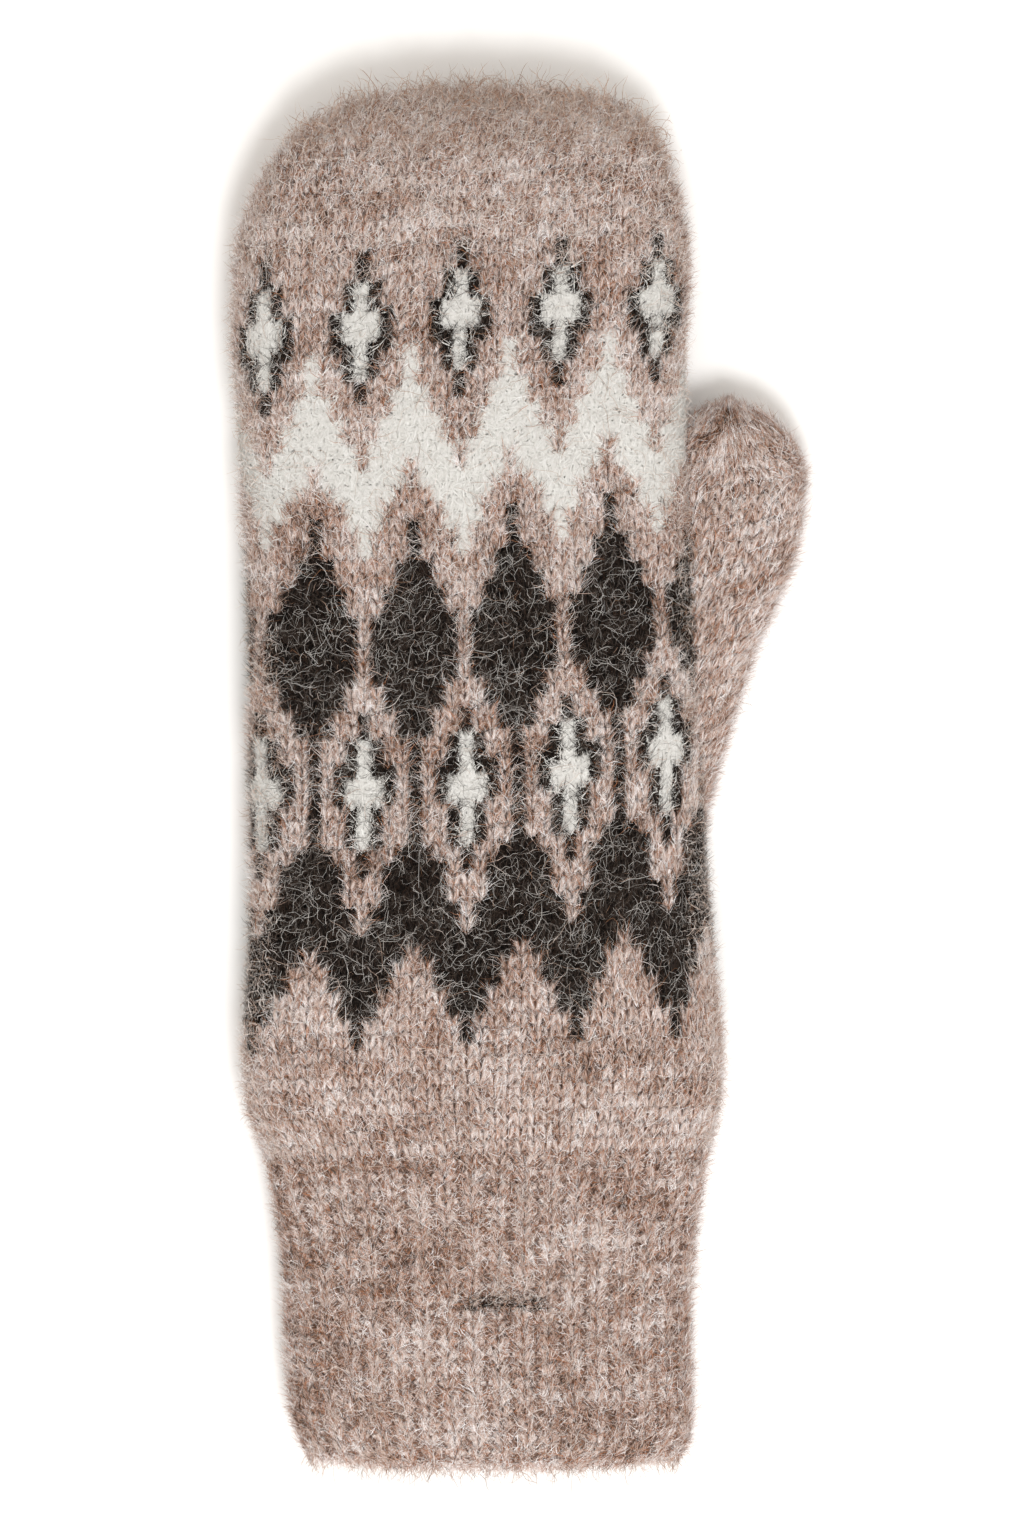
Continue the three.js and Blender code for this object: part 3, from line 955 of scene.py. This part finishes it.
# Of each yarn: its letter, how its fibres lie, their wool, and how many each stitch has on the back, on the
# palm, and of the long bent ones on the back.
hand_naps = {
    "oatmeal": ("o", oatmeal_lie, oatmeal_fibres, 58, 20, 8),
    "charcoal": ("c", charcoal_lie, charcoal_fibres, 44, 18, 6),
    "cream": ("w", cream_lie, cream_fibres, 100, 40, 8),
}
for number, (yarn_name, (letter, lie, finish, *counts)) in enumerate(hand_naps.items()):
    back = hand_places[:, (hand_yarns == letter) & on_back]
    palm = hand_places[:, (hand_yarns == letter) & ~on_back]
    long_lie = dict(lie, width=lie["width"] * 0.8, **LONG)
    nap(f"back_{yarn_name}_nap", body, back, counts[0], 0, lie, finish, 20 + number)
    nap(f"palm_{yarn_name}_nap", body, palm, counts[1], 0, lie, finish, 25 + number)
    nap(f"back_{yarn_name}_long_nap", body, back, counts[2], 1, long_lie, finish, 30 + number)
cuff_back, cuff_palm = plain_places[:, cuff_on_back], plain_places[:, ~cuff_on_back]
one_round_on = np.array([[0], [1]])
long_rib_lie = dict(rib_lie, width=0.085, **LONG)
long_lie = dict(oatmeal_lie, width=0.085, **LONG)
oatmeal_naps = [
    ("cuff_back_nap", cuff, cuff_back, 84, 0, rib_lie, 35, CUFF_DARKER),
    ("cuff_valley_nap", cuff, cuff_back + one_round_on, 40, 0, valley_lie, 40, CUFF_DARKER),
    ("cuff_palm_nap", cuff, cuff_palm, 40, 0, rib_lie, 36, 0.0),
    ("cuff_palm_valley_nap", cuff, cuff_palm + one_round_on, 18, 0, valley_lie, 44, 0.0),
    ("cuff_back_long_nap", cuff, cuff_back, 16, 1, long_rib_lie, 37, CUFF_DARKER),
    ("thumb_nap", thumb, thumb_places, 50, 0, oatmeal_lie, 38, thumb_crease_shade),
    ("thumb_long_nap", thumb, thumb_places, 8, 1, long_lie, 39, thumb_crease_shade),
]
for name, tube, places, per_stitch, bends, lie, seed, darker in oatmeal_naps:
    nap(name, tube, places, per_stitch, bends, lie, oatmeal_fibres, seed, darker)

# Stray hairs that lie over the cloth, long and curly. They are loose ends of all the yarns, caught in the
# nap, and show most where they are light over charcoal.
HAIR_POINTS = 6
HAIR_WOBBLE, HAIR_LENGTHS, HAIR_TILT = 0.55, 0.4, 0.3
HAIR_WIDTHS = (0.7, 1.3)
HAIR_PROUD = 0.5


def roots(chance, places, count):
    """Where hairs start: anywhere on stitches picked by chance."""
    pick = chance.integers(0, places.shape[1], count)
    return [row[pick] + chance.uniform(-0.5, 0.5, count) for row in places]


def lying_hairs(name, tube, places, count, habit, finish, seed):
    """Hairs over the cloth, each with its own curl."""
    chance = np.random.default_rng(seed)
    start_up, start_around = roots(chance, places, count)
    first = chance.uniform(0.0, 2 * np.pi, (count, 1))
    bend = chance.normal(0.0, habit["curl"], (count, 1)) / HAIR_POINTS
    wobble = np.cumsum(chance.normal(0.0, HAIR_WOBBLE, (count, HAIR_POINTS - 1)), axis=1)
    headings = first + bend * np.arange(HAIR_POINTS - 1)[None] + wobble
    reach = habit["length"] * chance.lognormal(0.0, HAIR_LENGTHS, count)
    rise = chance.uniform(0.4, 1.0, (count, 1)) * np.sin(np.linspace(0.3, 2.9, HAIR_POINTS))[None]
    lines, facing = lying_lines(tube, start_up, start_around, headings, reach, HAIR_PROUD + rise)
    half_width = habit["width"] / 2 * chance.uniform(*HAIR_WIDTHS, count)
    tilted = facing + chance.normal(0.0, HAIR_TILT, (count, 1, 3))
    tone = chance.uniform(*habit["tone"], count)
    return fibre_piece(name, lines, tilted, half_width, tone, finish)


stray_shades = [(0.0, 52, 42, 37), (0.3, 146, 106, 78), (0.6, 190, 168, 154), (1.0, 236, 231, 227)]
stray_hair = (fibre_wool("stray_hair", stray_shades), "oatmeal_wool")
grey_shades = [(0.0, 40, 33, 29), (0.5, 78, 68, 61), (1.0, 232, 229, 226)]
grey_hair = (fibre_wool("grey_hair", grey_shades), "charcoal_wool")

loop_habit = {"length": 3.9, "width": 0.042, "curl": 2.6, "tone": (0.0, 0.98)}
stray_habit = {"length": 4.6, "width": 0.055, "curl": 2.2, "tone": (0.12, 1.0)}
tan_habit = dict(stray_habit, tone=(0.3, 0.7), width=0.05)
charcoal_back = hand_places[:, (hand_yarns == "c") & on_back]
charcoal_palm = hand_places[:, (hand_yarns == "c") & ~on_back]
oatmeal_back = hand_places[:, (hand_yarns == "o") & on_back]
cream_back = hand_places[:, (hand_yarns == "w") & on_back]
# Of each: its name, where it lies, how many hairs there are, how they curl, and their wool.
hairs = [
    ("back_grey_hairs", body, charcoal_back, 7400, loop_habit, grey_hair),
    ("palm_grey_hairs", body, charcoal_palm, 900, loop_habit, grey_hair),
    ("back_stray_hairs", body, oatmeal_back, 3000, stray_habit, stray_hair),
    ("back_tan_hairs", body, cream_back, 260, tan_habit, stray_hair),
    ("cuff_stray_hairs", cuff, cuff_back, 1500, stray_habit, stray_hair),
    ("thumb_stray_hairs", thumb, thumb_places, 900, stray_habit, stray_hair),
]
for number, hair in enumerate(hairs):
    lying_hairs(*hair, 50 + number)

# The fibres round the tacking and the rim. The tacks are brushed with the cloth, so fibres of both wools lie
# over them, and the cast-on edge has its nap over the thickness of the cloth and along the hem.
tack_lie = dict(charcoal_lie, length=1.9, lean=1.4, scatter=0.4, disorder=0.7, proud=0.65)
tack_stitches = np.array([np.full(tacks.shape[1], round(TACK_UP)), np.round(tacks[1]).astype(int)])
nap("cuff_tack_nap", cuff, tack_stitches, 36, 1, tack_lie, charcoal_fibres, 41)
over_tacks = dict(stray_habit, length=3.6, tone=(0.4, 1.0))
round_tacks = np.array([np.full(7, round(TACK_UP)), np.arange(-1, 6)])
lying_hairs("cuff_tack_hairs", cuff, round_tacks, 80, over_tacks, stray_hair, 57)
rim_lie = dict(oatmeal_lie, length=1.5, lean=1.57, scatter=0.3, disorder=0.6, rise=0.1, proud=-2.9, thick=3.0)
rim_lie.update(foot=-0.14, climb=0.1)
nap("rim_nap", cuff, edge_places, 70, 0, rim_lie, oatmeal_fibres, 43)
hem_lie = dict(oatmeal_lie, length=1.4, lean=2.3, scatter=0.3, disorder=0.7, rise=0.2, foot=-0.15, climb=0.8)
nap("hem_nap", cuff, edge_places, 90, 0, hem_lie, oatmeal_fibres, 42)

# The halo: hairs that stand off the cloth and blur its outline, longest and curliest at the tip, which the
# brush reaches from all sides. Shorter and finer ones make a haze close to the cloth.
LONGEST = 1.7  # no hair is longer than so many times the usual
LEAST_LIFT = 0.2  # how far off the cloth a hair sets out, at least
ROOT_PROUD = 0.2
HALO_LENGTHS, HALO_KINKS, HALO_TWIST = 0.45, 0.22, 0.6
SIDE_FACES_UP = 0.85  # the cloth of the sides faces up less than this
HALO_TIP_FROM, CURLS_FROM = 122.0, 100.0  # along Y


def standing_hairs(name, tube, places, count, habit, finish, seed):
    """Hairs that leave the cloth and curl. habit["pull"] draws them one way."""
    chance = np.random.default_rng(seed)
    start_up, start_around = roots(chance, places, count)
    root = tube.spot(start_up, start_around, ROOT_PROUD)
    normal = unit(tube.blend(tube.normals, start_up, start_around))
    sideways = unit(np.cross(normal, chance.normal(0.0, 1.0, (count, 3))))
    lift = chance.uniform(LEAST_LIFT, habit["lift"], (count, 1))
    ahead = unit(normal * lift + sideways + np.array(habit["pull"]))
    bent = unit(np.cross(ahead, chance.normal(0.0, 1.0, (count, 3))))
    points = habit["points"]
    turn = chance.normal(0.0, habit["curl"], (count, 1)) * np.linspace(0.0, 1.0, points - 1)[None]
    steps = ahead[:, None] * np.cos(turn)[..., None] + bent[:, None] * np.sin(turn)[..., None]
    steps = unit(steps + chance.normal(0.0, HALO_KINKS, steps.shape))
    stride = habit["length"] * np.minimum(chance.lognormal(0.0, HALO_LENGTHS, count), LONGEST) / (points - 1)
    path = np.cumsum(steps * stride[:, None, None], axis=1)
    lines = root[:, None] + np.concatenate([np.zeros((count, 1, 3)), path], axis=1)
    facing = chance.normal(0.0, HALO_TWIST, (count, 1, 3)) + np.array([0.0, 0.0, 1.0])
    half_width = habit["width"] / 2 * chance.uniform(*HAIR_WIDTHS, count)
    tone = chance.uniform(*habit["tone"], count)
    return fibre_piece(name, lines, np.broadcast_to(facing, lines.shape), half_width, tone, finish)


short_habit = {
    "length": 2.6,
    "width": 0.06,
    "curl": 1.6,
    "lift": 1.6,
    "pull": (0.0, 0.2, 0.0),
    "points": 4,
    "tone": (0.25, 1.0),
}
haze_habit = dict(short_habit, width=0.1, lift=0.7, points=3, tone=(0.55, 1.0))
hem_habit = dict(short_habit, length=2.8, pull=(0.0, -1.6, 0.0), lift=0.6, tone=(0.1, 0.8))
tip_habit = dict(short_habit, length=5.0, width=0.075, curl=4.5, lift=1.4, pull=(0.0, 0.8, 0.0), points=7)
tip_habit.update(tone=(0.25, 0.75))
tip_haze_habit = dict(haze_habit, width=0.07, lift=1.2, pull=(0.0, 0.4, 0.0), tone=(0.3, 1.0), length=3.4)
curl_habit = {"length": 4.2, "width": 0.065, "curl": 4.0, "tone": (0.7, 1.0)}

not_cream = hand_yarns != "w"
on_side = on_back & (hand_faces < SIDE_FACES_UP)
hand_ys = body.at(body.points, hand_places)[:, 1]
at_tip = hand_places[:, hand_ys > HALO_TIP_FROM]
over_tip = hand_places[:, on_back & (hand_ys > CURLS_FROM)]
halos = [
    ("side_halo_hairs", body, hand_places[:, on_side & not_cream], 4600, short_habit, stray_hair, 60),
    ("side_haze", body, hand_places[:, on_side], 8500, haze_habit, stray_hair, 66),
    ("back_halo_hairs", body, hand_places[:, not_cream], 3600, short_habit, stray_hair, 61),
    ("cuff_halo_hairs", cuff, plain_places, 3600, short_habit, stray_hair, 62),
    ("thumb_halo_hairs", thumb, thumb_places, 2000, short_habit, stray_hair, 63),
    ("hem_hairs", cuff, edge_places, 900, hem_habit, stray_hair, 64),
    ("tip_halo_hairs", body, at_tip, 3600, tip_habit, stray_hair, 65),
]
for halo in halos:
    standing_hairs(*halo)
lying_hairs("tip_curls", body, over_tip, 1300, curl_habit, stray_hair, 56)
standing_hairs("tip_haze", body, at_tip, 2000, tip_haze_habit, stray_hair, 67)

# The table top: a wide white sheet, smooth and matt, that the mitten lies flat on. It goes on far past what
# the camera sees.
TABLE_REACH = 3.0  # in metres
corners = [(x * TABLE_REACH, y * TABLE_REACH, 0.0) for x, y in [(-1, -1), (1, -1), (1, 1), (-1, 1)]]
table_mesh = bpy.data.meshes.new("table_top")
table_mesh.from_pydata(corners, [], [(0, 1, 2, 3)])
table_top = placed("table_top", table_mesh)
table_white, look = new_material("table_white")
dull_surface(look, (0.98, 0.98, 0.98, 1), 1.0, 0.0)
table_mesh.materials.append(table_white)

# The light: a pale, slightly warm room all round, and one broad lamp from the lower right, which gives the
# mitten its soft shadow.
KEY_DISTANCE = 1.6  # in metres
world = bpy.data.worlds.new("studio")
bpy.context.scene.world = world
world.use_nodes = True
world.node_tree.nodes["Background"].inputs["Color"].default_value = (1.0, 0.955, 0.895, 1)
world.node_tree.nodes["Background"].inputs["Strength"].default_value = 0.84

key = bpy.data.lights.new("key", "AREA")
key.shape = "DISK"
key.size = 0.6
key.energy = 17.0
key_lamp = placed("key", key)
key_from = Vector((0.13, -0.58, 0.92)).normalized()
key_lamp.location = key_from * KEY_DISTANCE
key_lamp.rotation_mode = "QUATERNION"
key_lamp.rotation_quaternion = key_from.to_track_quat("Z", "Y")

# The camera, straight above the mitten as in the photo, and far off behind a long lens, so that nothing in
# the picture leans.
VIEW_MIDDLE = (9.4, 0.4)  # the middle of the picture, on the table
VIEW_HEIGHT = 307.2  # what the picture takes in, from its lower to its upper edge
VIEW_LEVEL = 10.0  # the level above the table that has this scale
camera_data = bpy.data.cameras.new("camera")
camera_data.lens = 300.0
camera_data.sensor_width = 36.0
camera_data.clip_start = 0.01
camera_data.clip_end = 20.0
camera = placed("camera", camera_data)
distance = VIEW_HEIGHT / camera_data.sensor_width * camera_data.lens + VIEW_LEVEL
camera.location = (VIEW_MIDDLE[0] * MM, VIEW_MIDDLE[1] * MM, distance * MM)
bpy.context.scene.camera = camera
bpy.context.scene.view_settings.view_transform = "Standard"
